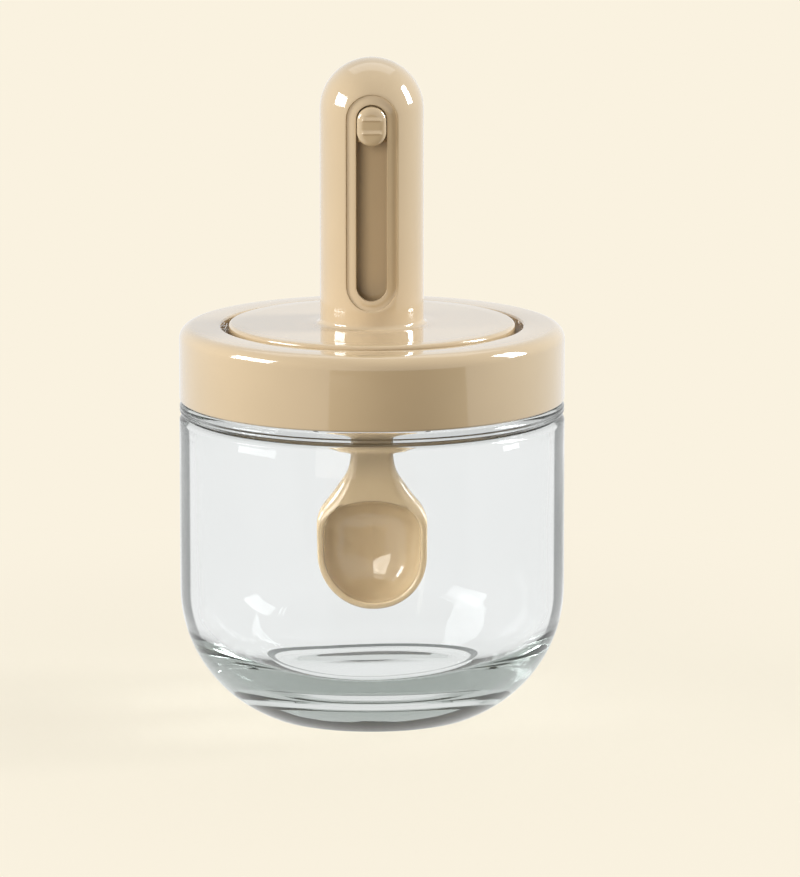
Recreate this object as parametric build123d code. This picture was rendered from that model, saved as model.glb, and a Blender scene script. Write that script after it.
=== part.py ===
"""Glass seasoning jar with a screw collar and a lift-out lid that holds a sliding spoon.

Sizes are in millimetres. The origin is the centre of the jar's foot and +Z is up.
The slot, the thumb button and the hollow of the spoon face the front, which is -Y.
"""
from build123d import *
import math
import os

os.makedirs("parts", exist_ok=True)

# Overall sizes
total_height = 140.0
jar_diameter = 81.5
shoulder_height = 67.1
collar_height = 15.7

# Clearances, each named for what it keeps apart
rest_gap = 0.3
sliding_gap = 0.25
assembly_gap = 0.1
seal_gap = 0.05

# Glass jar: body and foot
glass_wall = 3.3
foot_radius = 22.5
foot_curve_radius = 29.0
foot_edge_rounding = 3.0
foot_ring_width = 3.5
punt_depth = 1.6
floor_height = 9.0
floor_curve_radius = 17.0
inner_shoulder_rise = 6.9
inner_shoulder_radius = 18.3
inner_shoulder_foot_radius = 30.0

# Glass jar: bead below the collar, with the fine groove under it
bead_height = 2.9
bead_bulge = 0.9
groove_height = 0.9

# Glass jar: threaded neck
neck_wall = 2.6
neck_root_rounding = 0.8
rim_rounding = 0.6

# Thread, right-handed with one start, shared by the neck and the collar
thread_pitch = 4.2
thread_depth = 1.2
thread_root_width = 2.0
thread_crest_width = 1.0
thread_sink = 0.4
thread_foot_height = 3.3
thread_flank_gap = 0.4
thread_crest_gap = 0.6
neck_thread_turns = 1.25
collar_thread_turns = 1.0

# Screw collar
collar_wall = 2.35
collar_top_thickness = 2.4
collar_top_rounding = 2.8
collar_edge_rounding = 0.5
recess_depth = 3.8
recess_wall = 1.6
recess_neck_gap = 0.5
ledge_width = 5.4
ledge_thickness = 2.0
sealing_bore_wall = 1.5
sealing_bore_length = 4.3

# Gasket under the collar's top
gasket_thickness = 1.6
gasket_side_gap = 0.4

# Lid disc
disc_ring_gap = 1.6
disc_proud = 0.6
disc_thickness = 2.4
disc_edge_rounding = 0.8
disc_skirt_wall = 2.0

# Handle
handle_diameter = 21.9
handle_wall = 2.0
handle_foot_rounding = 1.6

# Slot in the handle, with a shallow recessed band round it
slot_width = 6.4
slot_above_disc = 6.0
slot_below_top = 8.8
band_margin = 2.1
band_depth = 0.5

# Plug under the disc
plug_floor_thickness = 1.8
plug_wall = 1.8
plug_drop = 4.2
plug_side_gap = 0.9
spigot_length = 6.2
seal_groove_height = 1.8
seal_groove_depth = 1.2
seal_groove_rise = 1.0

# Wiper round the shank
wiper_thickness = 1.0
wiper_margin = 1.6

# Spoon: shank
shank_width = 8.8
shank_thickness = 5.0
shank_setback = 3.45
shank_rounding = 1.0
shank_cover = 2.8

# Spoon: bowl, with lengths measured up from its tip
spoon_reach = 52.6
bowl_width = 23.4
bowl_depth = 10.5
bowl_side_length = 18.2
bowl_neck_length = 37.4
bowl_shoulder_radius = 7.5
bowl_rim_width = 1.3
bowl_back_rounding = 8.0
hollow_length = 23.5
hollow_side_length = 20.2
hollow_depth = 8.6
hollow_corner_rounding = 6.3
hollow_floor_rounding = 8.1

# Thumb button
button_side_gap = 0.125
button_height = 8.4
button_proud = 0.45
button_edge_rounding = 0.9
button_peg_width = 3.0
button_peg_height = 4.0
button_peg_length = 2.2
grip_step_spacing = 2.8
grip_step_depth = 0.35
grip_step_width = 3.8

# Carriage behind the button
carriage_inset = 0.7
carriage_head = 0.9
spring_pocket_width = 5.0
spring_pocket_depth = 1.8

# Leaf spring behind the carriage, and the groove in the handle that it runs in
spring_width = 4.0
spring_thickness = 0.3
spring_end_margin = 0.6
spring_groove_depth = 0.7
detent_height = 0.2
detent_radius = 1.0

# Radii that follow from the sizes above
jar_radius = jar_diameter / 2
cavity_radius = jar_radius - glass_wall
collar_bore_radius = jar_radius - collar_wall
neck_radius = collar_bore_radius - thread_crest_gap - thread_depth
neck_bore_radius = neck_radius - neck_wall
recess_radius = neck_bore_radius - recess_neck_gap - recess_wall
sealing_bore_radius = recess_radius - ledge_width
disc_radius = recess_radius - disc_ring_gap
plug_radius = sealing_bore_radius - plug_side_gap
handle_radius = handle_diameter / 2
handle_bore_radius = handle_radius - handle_wall
spring_groove_radius = handle_bore_radius + spring_groove_depth
carriage_radius = handle_bore_radius - sliding_gap
bowl_radius = bowl_width / 2

# Heights that follow from the sizes above
collar_bottom = shoulder_height + rest_gap
collar_top = collar_bottom + collar_height
collar_underside = collar_top - collar_top_thickness
neck_top = collar_underside - gasket_thickness
ledge_top = collar_top - recess_depth
disc_top = collar_top + disc_proud
disc_underside = disc_top - disc_thickness
skirt_bottom = ledge_top + rest_gap
dome_centre = total_height - handle_radius
slot_bottom = disc_top + slot_above_disc
slot_top = total_height - slot_below_top
plug_bottom = skirt_bottom - plug_drop
spigot_top = disc_underside + spigot_length
button_top = slot_top - rest_gap
button_centre = button_top - button_height / 2
button_bottom = button_top - button_height
button_travel = button_bottom - rest_gap - slot_bottom
carriage_bottom = button_bottom + carriage_inset
carriage_top = button_top + carriage_head
shank_top = carriage_top - shank_cover
bowl_tip = plug_bottom - spoon_reach
bowl_centre = bowl_tip + bowl_radius
bowl_side_top = bowl_tip + bowl_side_length
bowl_neck_top = bowl_tip + bowl_neck_length
hollow_top = bowl_tip + hollow_length
hollow_side_top = bowl_tip + hollow_side_length

# Distances towards the front that follow from the sizes above
shank_front = handle_bore_radius - shank_setback
shank_back = shank_front - shank_thickness
shank_middle = (shank_front + shank_back) / 2
button_front = handle_radius + button_proud
button_width = slot_width - 2 * button_side_gap
band_width = slot_width + 2 * band_margin


def turned_outline(points, roundings=()):
    """A turned solid from corner points, with some corners rounded as (point, radius)."""
    face = make_face(Polyline(*points, close=True))
    for corner, radius in roundings:
        vertex = face.vertices().sort_by_distance(Vector(*corner))[0]
        face = fillet(vertex, radius)
    return revolve(Plane.XZ * face, Axis.Z)


def ring(inner_radius, outer_radius, bottom, top):
    """A plain turned ring."""
    return turned_outline(
        [(inner_radius, bottom), (outer_radius, bottom), (outer_radius, top), (inner_radius, top)]
    )


def block(width, front, back, bottom, top):
    """A box centred on X. Front and back are distances towards the front, so back is the smaller."""
    middle = Pos(0, -(front + back) / 2, (bottom + top) / 2)
    return middle * Box(width, front - back, top - bottom)


def thread_ridge(wall_radius, direction, start_height, turns):
    """A helical ridge on a wall, standing out by the thread's depth along the direction."""
    flank_slope = (thread_root_width - thread_crest_width) / 2 / thread_depth
    sunk = wall_radius - direction * thread_sink
    crest = wall_radius + direction * thread_depth
    half_sunk = thread_root_width / 2 + flank_slope * thread_sink
    half_crest = thread_crest_width / 2
    section = make_face(
        Polyline(
            (sunk, start_height - half_sunk),
            (crest, start_height - half_crest),
            (crest, start_height + half_crest),
            (sunk, start_height + half_sunk),
            close=True,
        )
    )
    path = Helix(thread_pitch, thread_pitch * turns, wall_radius, center=(0, 0, start_height))
    return sweep(Plane.XZ * section, path, is_frenet=True)


def neck_thread_start():
    """Height of the middle of the neck's thread where it starts, at +X."""
    return shoulder_height + thread_foot_height


def collar_thread_start():
    """Height where the collar's thread starts, just under the flank of the neck's thread."""
    meeting_width = (thread_root_width + thread_crest_width) / 2
    taper = (thread_root_width - thread_crest_width) / thread_depth
    overlap = thread_depth - thread_crest_gap
    flank_distance = meeting_width - taper * overlap / 2 + thread_flank_gap
    skipped_turns = neck_thread_turns - collar_thread_turns
    return neck_thread_start() + skipped_turns * thread_pitch - flank_distance


def glass_jar():
    """The jar: a turned body with a thick rounded base, a bead and a threaded neck."""
    # Outside, from the foot up: the curve is tangent to the wall and ends at the foot's edge
    foot_turn = math.acos(1 - (jar_radius - foot_radius) / foot_curve_radius)
    curve_top = foot_curve_radius * math.sin(foot_turn)
    curve_middle = foot_turn / 2
    middle_point = (
        jar_radius - foot_curve_radius * (1 - math.cos(curve_middle)),
        curve_top - foot_curve_radius * math.sin(curve_middle),
    )
    bead_bottom = shoulder_height - bead_height
    bead_foot_radius = jar_radius - bead_bulge
    outside = [
        Line((foot_radius - foot_ring_width, 0), (foot_radius, 0)),
        ThreePointArc((foot_radius, 0), middle_point, (jar_radius, curve_top)),
        Line((jar_radius, curve_top), (jar_radius, bead_bottom - groove_height)),
        Line((jar_radius, bead_bottom - groove_height), (bead_foot_radius, bead_bottom)),
        ThreePointArc(
            (bead_foot_radius, bead_bottom),
            (jar_radius, shoulder_height - bead_height / 2),
            (bead_foot_radius, shoulder_height),
        ),
        Line((bead_foot_radius, shoulder_height), (neck_radius, shoulder_height)),
        Line((neck_radius, shoulder_height), (neck_radius, neck_top)),
        Line((neck_radius, neck_top), (neck_bore_radius, neck_top)),
    ]
    # Inside, from the rim down: the neck's bore widens gently to the cavity, in two arcs, and the
    # cavity rounds into the floor
    widening = cavity_radius - neck_bore_radius
    shoulder_radii = inner_shoulder_radius + inner_shoulder_foot_radius
    shoulder_turn = math.acos(1 - widening / shoulder_radii)
    widening_top = shoulder_height + inner_shoulder_rise
    shoulder_middle = (
        neck_bore_radius + inner_shoulder_radius * (1 - math.cos(shoulder_turn)),
        widening_top - inner_shoulder_radius * math.sin(shoulder_turn),
    )
    shoulder_end = (cavity_radius, widening_top - shoulder_radii * math.sin(shoulder_turn))
    floor_edge = cavity_radius - floor_curve_radius
    floor_curve_top = floor_height + floor_curve_radius
    inside = [
        Line((neck_bore_radius, neck_top), (neck_bore_radius, widening_top)),
        TangentArc((neck_bore_radius, widening_top), shoulder_middle, tangent=(0, -1)),
        TangentArc(shoulder_end, shoulder_middle, tangent=(0, 1)),
        Line(shoulder_end, (cavity_radius, floor_curve_top)),
        TangentArc((cavity_radius, floor_curve_top), (floor_edge, floor_height), tangent=(0, -1)),
        Line((floor_edge, floor_height), (0, floor_height)),
    ]
    # The punt is a shallow dome inside the foot's ring
    punt_edge = foot_radius - foot_ring_width
    foot = [
        Line((0, floor_height), (0, punt_depth)),
        TangentArc((0, punt_depth), (punt_edge, 0), tangent=(1, 0)),
    ]
    face = make_face(Curve() + outside + inside + foot)
    for corner, radius in (
        ((foot_radius, 0), foot_edge_rounding),
        ((neck_radius, shoulder_height), neck_root_rounding),
        ((neck_radius, neck_top), rim_rounding),
        ((neck_bore_radius, neck_top), rim_rounding),
    ):
        vertex = face.vertices().sort_by_distance(Vector(*corner))[0]
        face = fillet(vertex, radius)
    body = revolve(Plane.XZ * face, Axis.Z)
    return body + thread_ridge(neck_radius, 1, neck_thread_start(), neck_thread_turns)


def screw_collar():
    """The collar: a threaded ring with a recess for the lid's disc and a bore for its seal."""
    recess_outside = recess_radius + recess_wall
    bore_outside = sealing_bore_radius + sealing_bore_wall
    ledge_bottom = ledge_top - ledge_thickness
    bore_bottom = ledge_top - sealing_bore_length
    points = [
        (collar_bore_radius, collar_bottom),
        (jar_radius, collar_bottom),
        (jar_radius, collar_top),
        (recess_radius, collar_top),
        (recess_radius, ledge_top),
        (sealing_bore_radius, ledge_top),
        (sealing_bore_radius, bore_bottom),
        (bore_outside, bore_bottom),
        (bore_outside, ledge_bottom),
        (recess_outside, ledge_bottom),
        (recess_outside, collar_underside),
        (collar_bore_radius, collar_underside),
    ]
    roundings = [
        ((jar_radius, collar_top), collar_top_rounding),
        ((jar_radius, collar_bottom), collar_edge_rounding),
        ((recess_radius, collar_top), collar_edge_rounding),
        ((sealing_bore_radius, ledge_top), collar_edge_rounding),
    ]
    body = turned_outline(points, roundings)
    skipped_angle = 360 * (neck_thread_turns - collar_thread_turns)
    ridge = thread_ridge(collar_bore_radius, -1, collar_thread_start(), collar_thread_turns)
    return body + Rot(0, 0, skipped_angle) * ridge


def collar_gasket():
    """The flat ring between the glass rim and the underside of the collar's top."""
    inner = recess_radius + recess_wall + gasket_side_gap
    outer = collar_bore_radius - gasket_side_gap
    return ring(inner, outer, neck_top, collar_underside)


def handle_space(radius):
    """The round space inside the handle, with a domed end, from the lid's underside up."""
    shaft_bottom = skirt_bottom
    shaft = Pos(0, 0, (shaft_bottom + dome_centre) / 2) * Cylinder(radius, dome_centre - shaft_bottom)
    return shaft + Pos(0, 0, dome_centre) * Sphere(radius)


def slot_prism(width, bottom, top, front, back):
    """An upright slot shape with round ends, cut from the front towards the back."""
    outline = Pos(0, (bottom + top) / 2) * SlotOverall(top - bottom, width, rotation=90)
    return Pos(0, -back, 0) * extrude(Plane.XZ * outline, front - back)


def lid_handle():
    """The lid's disc with its skirt and the hollow handle, one moulding."""
    disc = turned_outline(
        [
            (0, disc_underside),
            (disc_radius - disc_skirt_wall, disc_underside),
            (disc_radius - disc_skirt_wall, skirt_bottom),
            (disc_radius, skirt_bottom),
            (disc_radius, disc_top),
            (0, disc_top),
        ],
        [((disc_radius, disc_top), disc_edge_rounding)],
    )
    shaft = Pos(0, 0, (disc_underside + dome_centre) / 2) * Cylinder(
        handle_radius, dome_centre - disc_underside
    )
    handle = shaft + Pos(0, 0, dome_centre) * Sphere(handle_radius)
    body = disc + handle
    foot_edge = (
        body.edges()
        .filter_by(GeomType.CIRCLE)
        .filter_by(lambda edge: abs(edge.center().Z - disc_top) < 0.01)
        .filter_by(lambda edge: abs(edge.radius - handle_radius) < 0.01)
    )
    body = fillet(foot_edge, handle_foot_rounding)
    # The band is cut to a constant depth below the round surface
    band = slot_prism(
        band_width, slot_bottom - band_margin, slot_top + band_margin, handle_radius + 1, 0
    )
    core_radius = handle_radius - band_depth
    core = Pos(0, 0, (slot_bottom + dome_centre) / 2 - 10) * Cylinder(
        core_radius, dome_centre - slot_bottom + 20
    )
    core += Pos(0, 0, dome_centre) * Sphere(core_radius)
    body -= band - core
    body -= handle_space(handle_bore_radius)
    body -= slot_prism(slot_width, slot_bottom, slot_top, handle_radius + 1, 0)
    # The leaf spring's groove runs down the back of the bore, with a low detent ridge at each stop
    groove_bottom = carriage_bottom - button_travel - rest_gap
    groove = block(
        spring_width + 2 * rest_gap, -handle_bore_radius / 2, -spring_groove_radius,
        groove_bottom, carriage_top,
    )
    body -= groove
    return body + detents()


def detents():
    """Two low ridges across the spring's groove, one past each stop of the travel."""
    crest_height = (carriage_bottom + carriage_top) / 2
    upper = crest_height - 2 * detent_radius
    lower = crest_height - button_travel + 2 * detent_radius
    offset = spring_groove_radius - detent_height + detent_radius
    ridges = Part()
    for height in (upper, lower):
        rod = Pos(0, offset, height) * Rot(0, 90, 0) * Cylinder(
            detent_radius, spring_width + 2 * rest_gap
        )
        ridges += rod & block(
            handle_diameter, -handle_bore_radius, -(handle_radius - handle_wall / 4),
            height - detent_radius, height + detent_radius,
        )
    return ridges


def shank_prism(gap, bottom, top):
    """The shank's section with a gap all round, between two heights."""
    section = RectangleRounded(
        shank_width + 2 * gap, shank_thickness + 2 * gap, shank_rounding + gap
    )
    return Pos(0, -shank_middle, bottom) * extrude(section, top - bottom)


def lid_plug():
    """The cap under the disc: a pan with a seal groove, and a spigot that guides the shank."""
    flange_radius = disc_radius - disc_skirt_wall - assembly_gap
    floor_top = plug_bottom + plug_floor_thickness
    groove_bottom = plug_bottom + seal_groove_rise
    groove_top = groove_bottom + seal_groove_height
    groove_radius = plug_radius - seal_groove_depth
    pan_radius = plug_radius - plug_wall
    spigot_radius = handle_bore_radius - assembly_gap
    pan = turned_outline(
        [
            (0, plug_bottom),
            (plug_radius, plug_bottom),
            (plug_radius, groove_bottom),
            (groove_radius, groove_bottom),
            (groove_radius, groove_top),
            (plug_radius, groove_top),
            (plug_radius, skirt_bottom),
            (flange_radius, skirt_bottom),
            (flange_radius, disc_underside),
            (pan_radius, disc_underside),
            (pan_radius, floor_top),
            (spigot_radius, floor_top),
            (spigot_radius, spigot_top),
            (0, spigot_top),
        ]
    )
    wiper_seat = wiper_pocket(0)
    return pan - shank_prism(sliding_gap, plug_bottom - 1, spigot_top + 1) - wiper_seat


def wiper_pocket(gap):
    """The shallow seat of the wiper in the underside of the plug, less a gap at its sides."""
    section = RectangleRounded(
        shank_width + 2 * wiper_margin - 2 * gap,
        shank_thickness + 2 * wiper_margin - 2 * gap,
        shank_rounding + wiper_margin - gap,
    )
    return Pos(0, -shank_middle, plug_bottom) * extrude(section, wiper_thickness)


def shank_wiper():
    """The thin washer that closes the gap round the shank."""
    hole = shank_prism(seal_gap, plug_bottom - 1, plug_bottom + wiper_thickness + 1)
    return wiper_pocket(seal_gap) - hole


def lid_seal():
    """The ring in the plug's groove, with two lips towards the collar's sealing bore."""
    bottom = plug_bottom + seal_groove_rise + seal_gap
    top = bottom + seal_groove_height - 2 * seal_gap
    inner = plug_radius - seal_groove_depth + seal_gap
    web = plug_radius + seal_gap
    lip = sealing_bore_radius - rest_gap
    quarter = (top - bottom) / 4
    return turned_outline(
        [
            (inner, bottom),
            (web, bottom),
            (lip, bottom + quarter),
            (web, bottom + 2 * quarter),
            (lip, bottom + 3 * quarter),
            (web, top),
            (inner, top),
        ]
    )


def spoon_outline():
    """The front outline of the bowl and its neck, up to where the neck becomes the shank."""
    half_neck = shank_width / 2
    run_in = bowl_radius - half_neck
    rise = bowl_neck_top - bowl_side_top
    turn = 2 * math.atan(run_in / rise)
    both_radii = rise / math.sin(turn)
    neck_radius_of_curve = both_radii - bowl_shoulder_radius
    meeting = (
        half_neck + neck_radius_of_curve * (1 - math.cos(turn)),
        bowl_neck_top - neck_radius_of_curve * math.sin(turn),
    )
    side_top = (bowl_radius, bowl_side_top)
    neck_end = (half_neck, bowl_neck_top)
    right = [
        Line((bowl_radius, bowl_centre), side_top),
        TangentArc(side_top, meeting, tangent=(0, 1)),
        TangentArc(neck_end, meeting, tangent=(0, -1)),
    ]
    left = [mirror(edge, Plane.YZ) for edge in right]
    tip = ThreePointArc((-bowl_radius, bowl_centre), (0, bowl_tip), (bowl_radius, bowl_centre))
    top = Line((-half_neck, bowl_neck_top), neck_end)
    return make_face(Curve() + right + left + [tip, top])


def hollow_outline():
    """The rim's inner outline: round below, straight sides, and a flatter arc on top."""
    half = bowl_radius - bowl_rim_width
    face = make_face(
        Curve()
        + [
            ThreePointArc((-half, bowl_centre), (0, bowl_centre - half), (half, bowl_centre)),
            Line((half, bowl_centre), (half, hollow_side_top)),
            ThreePointArc((half, hollow_side_top), (0, hollow_top), (-half, hollow_side_top)),
            Line((-half, hollow_side_top), (-half, bowl_centre)),
        ]
    )
    corners = face.vertices().filter_by(lambda vertex: vertex.Y > hollow_side_top - 0.01)
    return fillet(corners, hollow_corner_rounding)


def rounded_bar(width, depth, rounding, bottom, top):
    """An upright bar behind the spoon's front face, with its two back corners rounded."""
    section = RectangleRounded(width, 2 * depth, rounding)
    return Pos(0, -shank_front, bottom) * extrude(section, top - bottom)


def rounded_plate(height, depth, rounding, middle):
    """A sideways bar behind the spoon's front face, rounded at its lower and upper back edges."""
    section = RectangleRounded(2 * depth, height, rounding)
    return Pos(0, -shank_front, middle) * extrude(Plane.YZ * section, bowl_width, both=True)


def spoon_side():
    """The spoon's thickness seen from the side: a round cup that thins into the neck."""
    bend = (bowl_neck_top - bowl_side_top) / 2
    face = make_face(
        Curve()
        + [
            Line((0, bowl_neck_top), (0, bowl_tip)),
            Line((0, bowl_tip), (bowl_rim_width, bowl_tip)),
            Bezier(
                (bowl_rim_width, bowl_tip),
                (bowl_rim_width + 0.6 * (bowl_depth - bowl_rim_width), bowl_tip),
                (bowl_depth, bowl_tip + 0.35 * bowl_radius),
                (bowl_depth, bowl_centre),
            ),
            Line((bowl_depth, bowl_centre), (bowl_depth, bowl_side_top)),
            Bezier(
                (bowl_depth, bowl_side_top),
                (bowl_depth, bowl_side_top + bend),
                (shank_thickness, bowl_neck_top - bend),
                (shank_thickness, bowl_neck_top),
            ),
            Line((shank_thickness, bowl_neck_top), (0, bowl_neck_top)),
        ]
    )
    return Pos(0, -shank_front, 0) * extrude(Plane.YZ * face, bowl_width, both=True)


def bowl_hollow():
    """The deep hollow of the bowl, rounded towards its floor on every side."""
    half = bowl_radius - bowl_rim_width
    bottom = bowl_centre - half
    prism = Pos(0, -shank_front, 0) * extrude(Plane.XZ * hollow_outline(), -hollow_depth)
    bar = rounded_bar(2 * half, hollow_depth, hollow_floor_rounding, bottom - 1, hollow_top + 1)
    plate = rounded_plate(
        hollow_top - bottom, hollow_depth, hollow_floor_rounding, (hollow_top + bottom) / 2
    )
    return prism & bar & plate


def spoon():
    """The spoon: a deep bowl that opens to the front, a flaring neck and a straight shank."""
    prism = Pos(0, -shank_front, 0) * extrude(Plane.XZ * spoon_outline(), -bowl_depth)
    bar = rounded_bar(
        bowl_width, bowl_depth, bowl_back_rounding, bowl_tip - 1, bowl_neck_top + 1
    )
    blade = prism & bar & spoon_side()
    return blade + shank_prism(0, bowl_neck_top, shank_top) - bowl_hollow()


def carriage():
    """The slider in the handle: it grips the shank's top and carries the button and the spring."""
    slab = block(
        handle_diameter, handle_radius, -handle_radius, carriage_bottom, carriage_top
    )
    body = handle_space(carriage_radius) & slab
    body -= shank_prism(0, carriage_bottom - 1, shank_top)
    body -= block(
        spring_pocket_width, -(carriage_radius - spring_pocket_depth), -handle_radius,
        carriage_bottom - 1, carriage_top + 1,
    )
    return body - button_peg()


def button_peg():
    """The peg that joins the button to the carriage."""
    return block(
        button_peg_width, carriage_radius, carriage_radius - button_peg_length,
        button_centre - button_peg_height / 2, button_centre + button_peg_height / 2,
    )


def slide_button():
    """The oval thumb button with two grip steps, on its peg."""
    outline = Pos(0, button_centre) * SlotOverall(button_height, button_width, rotation=90)
    body = Pos(0, -carriage_radius, 0) * extrude(Plane.XZ * outline, button_front - carriage_radius)
    body = fillet(body.edges().group_by(Axis.Y)[0], button_edge_rounding)
    for height in (button_centre - grip_step_spacing / 2, button_centre + grip_step_spacing / 2):
        notch = Pos(0, -button_front, height) * Rot(45, 0, 0) * Box(
            grip_step_width, grip_step_depth * math.sqrt(2), grip_step_depth * math.sqrt(2)
        )
        body -= notch
    return body + button_peg()


def detent_spring():
    """The bowed leaf in the carriage's back pocket, its crest in the handle's groove."""
    bottom = carriage_bottom + spring_end_margin
    top = carriage_top - spring_end_margin
    seat = carriage_radius - spring_pocket_depth + assembly_gap
    crest = spring_groove_radius - rest_gap
    middle = (bottom + top) / 2
    outer = ThreePointArc((seat + spring_thickness, bottom), (crest, middle), (seat + spring_thickness, top))
    inner = ThreePointArc((seat, bottom), (crest - spring_thickness, middle), (seat, top))
    face = make_face(
        Curve()
        + [
            outer,
            inner,
            Line((seat, bottom), (seat + spring_thickness, bottom)),
            Line((seat, top), (seat + spring_thickness, top)),
        ]
    )
    return extrude(Plane.YZ * face, spring_width / 2, both=True)


pieces = {
    "glass_jar": glass_jar,
    "screw_collar": screw_collar,
    "collar_gasket": collar_gasket,
    "lid_handle": lid_handle,
    "lid_plug": lid_plug,
    "lid_seal": lid_seal,
    "shank_wiper": shank_wiper,
    "spoon": spoon,
    "carriage": carriage,
    "slide_button": slide_button,
    "detent_spring": detent_spring,
}

for name, make_piece in pieces.items():
    export_step(make_piece(), f"parts/{name}.step")
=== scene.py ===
import math

import bmesh
import bpy
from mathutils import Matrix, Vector


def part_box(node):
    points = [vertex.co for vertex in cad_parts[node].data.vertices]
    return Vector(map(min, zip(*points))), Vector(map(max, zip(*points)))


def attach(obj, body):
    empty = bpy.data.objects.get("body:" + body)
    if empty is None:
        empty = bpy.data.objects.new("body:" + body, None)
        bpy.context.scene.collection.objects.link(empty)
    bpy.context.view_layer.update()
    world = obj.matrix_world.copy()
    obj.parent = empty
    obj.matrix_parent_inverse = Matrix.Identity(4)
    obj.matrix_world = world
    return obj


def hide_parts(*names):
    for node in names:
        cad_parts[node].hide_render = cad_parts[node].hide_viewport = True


# Looks of a glass seasoning jar with a screw collar and a lift-out lid that holds a sliding spoon.
# Everything is in metres, +Z is up, and the slot, the button and the spoon's hollow face -Y.

bl_info = {
    "name": "Seasoning Jar",
    "version": (1, 0, 0),
    "blender": (4, 5, 0),
    "location": "View3D > Sidebar > Seasoning Jar",
    "description": "Glass seasoning jar with a screw collar, a lift-out lid and a sliding spoon",
    "category": "Object",
}

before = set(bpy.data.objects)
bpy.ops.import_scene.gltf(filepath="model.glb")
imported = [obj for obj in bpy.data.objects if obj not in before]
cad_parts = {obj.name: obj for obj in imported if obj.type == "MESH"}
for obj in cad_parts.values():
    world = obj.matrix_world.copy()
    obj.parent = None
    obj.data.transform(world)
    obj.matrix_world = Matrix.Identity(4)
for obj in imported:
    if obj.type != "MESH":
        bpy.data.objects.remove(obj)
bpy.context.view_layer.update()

MM = 0.001
TURN = 2 * math.pi
FRONT = -math.pi / 2

# Boxes of the CAD nodes that the pieces below stand for
jar_low, jar_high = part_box("glass_jar")
collar_low, collar_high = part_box("screw_collar")
lid_low, lid_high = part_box("lid_handle")
spoon_low, spoon_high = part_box("spoon")
button_low, button_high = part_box("slide_button")


def number(name, description, default, **limits):
    """A number that the user can change, with its unit or limits."""
    return bpy.props.FloatProperty(name=name, description=description, default=default, **limits)


def length(name, description, default):
    """A length that the user can change."""
    return number(name, description, default, unit="LENGTH")


def colour(name, description, default):
    """A colour that the user can change."""
    return bpy.props.FloatVectorProperty(
        name=name, description=description, default=default, subtype="COLOR", size=3, min=0, max=1
    )


class GlassSettings(bpy.types.PropertyGroup):
    """Sizes and look of the glass jar."""

    wall: length("Wall", "Thickness of the jar's wall", 3.3 * MM)
    floor_height: length("Floor height", "Height of the inner floor", 9 * MM)
    foot_curve: length("Foot curve", "Radius of the curve from the wall to the foot", 29 * MM)
    waviness: length("Waviness", "How far the pressed inner surface wanders", 0.16 * MM)
    tint: colour("Tint", "Colour of light that passes the glass", (0.985, 0.99, 0.99))
    # Colour painted into the glass's dark lines, which stand in for darker surroundings that the glass
    # bends into view
    painted_line_tint: colour("Edge tint", "Colour of light in the glass's dark lines", (0.085, 0.092, 0.09))
    body_tint: colour("Body tint", "Colour that thick glass tends to", (0.75, 0.775, 0.758))


class PlasticSettings(bpy.types.PropertyGroup):
    """Sizes and look of the moulded plastic pieces."""

    colour: colour("Colour", "Colour of the glossy plastic", (0.575, 0.44, 0.275))
    # Lighter than the glossy plastic: painted light that lifts the shade in the slot
    lightened_inner_colour: colour("Inner colour", "Colour of the satin plastic inside", (0.68, 0.49, 0.28))
    top_rounding: length("Top rounding", "Rounding of the collar's upper outer edge", 2.8 * MM)
    foot_rounding: length("Foot rounding", "Rounding where the handle meets the disc", 1.0 * MM)
    band_edge: length("Band edge", "Rounding of the edges round the slot", 0.25 * MM)


class StageSettings(bpy.types.PropertyGroup):
    """Floor, lamps and camera."""

    backdrop: colour("Backdrop", "Colour of the floor and the backdrop", (0.956, 0.888, 0.745))
    through_glass: colour(
        "Through glass", "Colour of the backdrop in reflections and through glass", (0.93, 0.932, 0.93)
    )
    floor_tone: number("Floor tone", "Share of the light that the floor sends back", 0.2, min=0, max=1)
    plain_share: number(
        "Plain share", "Share of the plain backdrop in the floor next to the jar", 0.7, min=0, max=1
    )
    ambient: number("Ambient", "Brightness of the light from all round", 0.25, min=0)
    distance: length("Camera distance", "From the camera to the jar", 1.5)
    elevation: number("Camera elevation", "Angle above the horizon", math.radians(10.6), unit="ROTATION")


# Glass jar, sizes that the frame doesn't give
SHOULDER = 67.1 * MM
FOOT_RING_INSIDE = 19 * MM
FOOT_ROUNDING = 3 * MM
FOOT_CURVE_TOP = 26.93 * MM
PUNT_DEPTH = 1.6 * MM
FLOOR_CURVE = 14.5 * MM
FLOOR_STEP = 0.9 * MM
BEAD_HEIGHT = 2.9 * MM
BEAD_BOTTOM = SHOULDER - BEAD_HEIGHT
BEAD_BULGE = 0.9 * MM
GROOVE_HEIGHT = 0.9 * MM
MOULD_LINE_HALF = 0.45 * MM
MOULD_LINE_DEPTH = 0.16 * MM
NECK_RADIUS = 36.6 * MM
NECK_BORE = 34 * MM
NECK_ROOT = 0.8 * MM
INNER_SHOULDER = 18.3 * MM
INNER_SHOULDER_FOOT = 30 * MM
INNER_SHOULDER_TOP = 74 * MM
RIM_ROUNDING = 0.6 * MM
ROUND_SEGMENTS = 256

# The groove under the bead, as points in from the wall and out from the bead's foot, and down
GROOVE_LIP = ((0.02 * MM, 0.25 * MM), (0.1 * MM, 0))
GROOVE_FOOT = ((0.2 * MM, 0.25 * MM), (0.04 * MM, 0.08 * MM))

# The step round the inner floor, as shares of its height inwards and upwards
FLOOR_STEP_POINTS = ((0.25, 0.9), (1.0, 0.1), (1.4, 0))

# Waves of the pressed inside, which die out upwards and near the jar's axis. Starts are angles
CALM_FROM = 0.45 * SHOULDER
CALM_ABOVE = 0.8 * SHOULDER
STILL_RADIUS = 10 * MM
SAG_RADIUS = 15 * MM
SAG_SHARE = 0.6
OVAL_START = 0.7
RIPPLE_SHARE = 0.5
RIPPLE_LEAN = 160
SAG_START = 1.9
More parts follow.
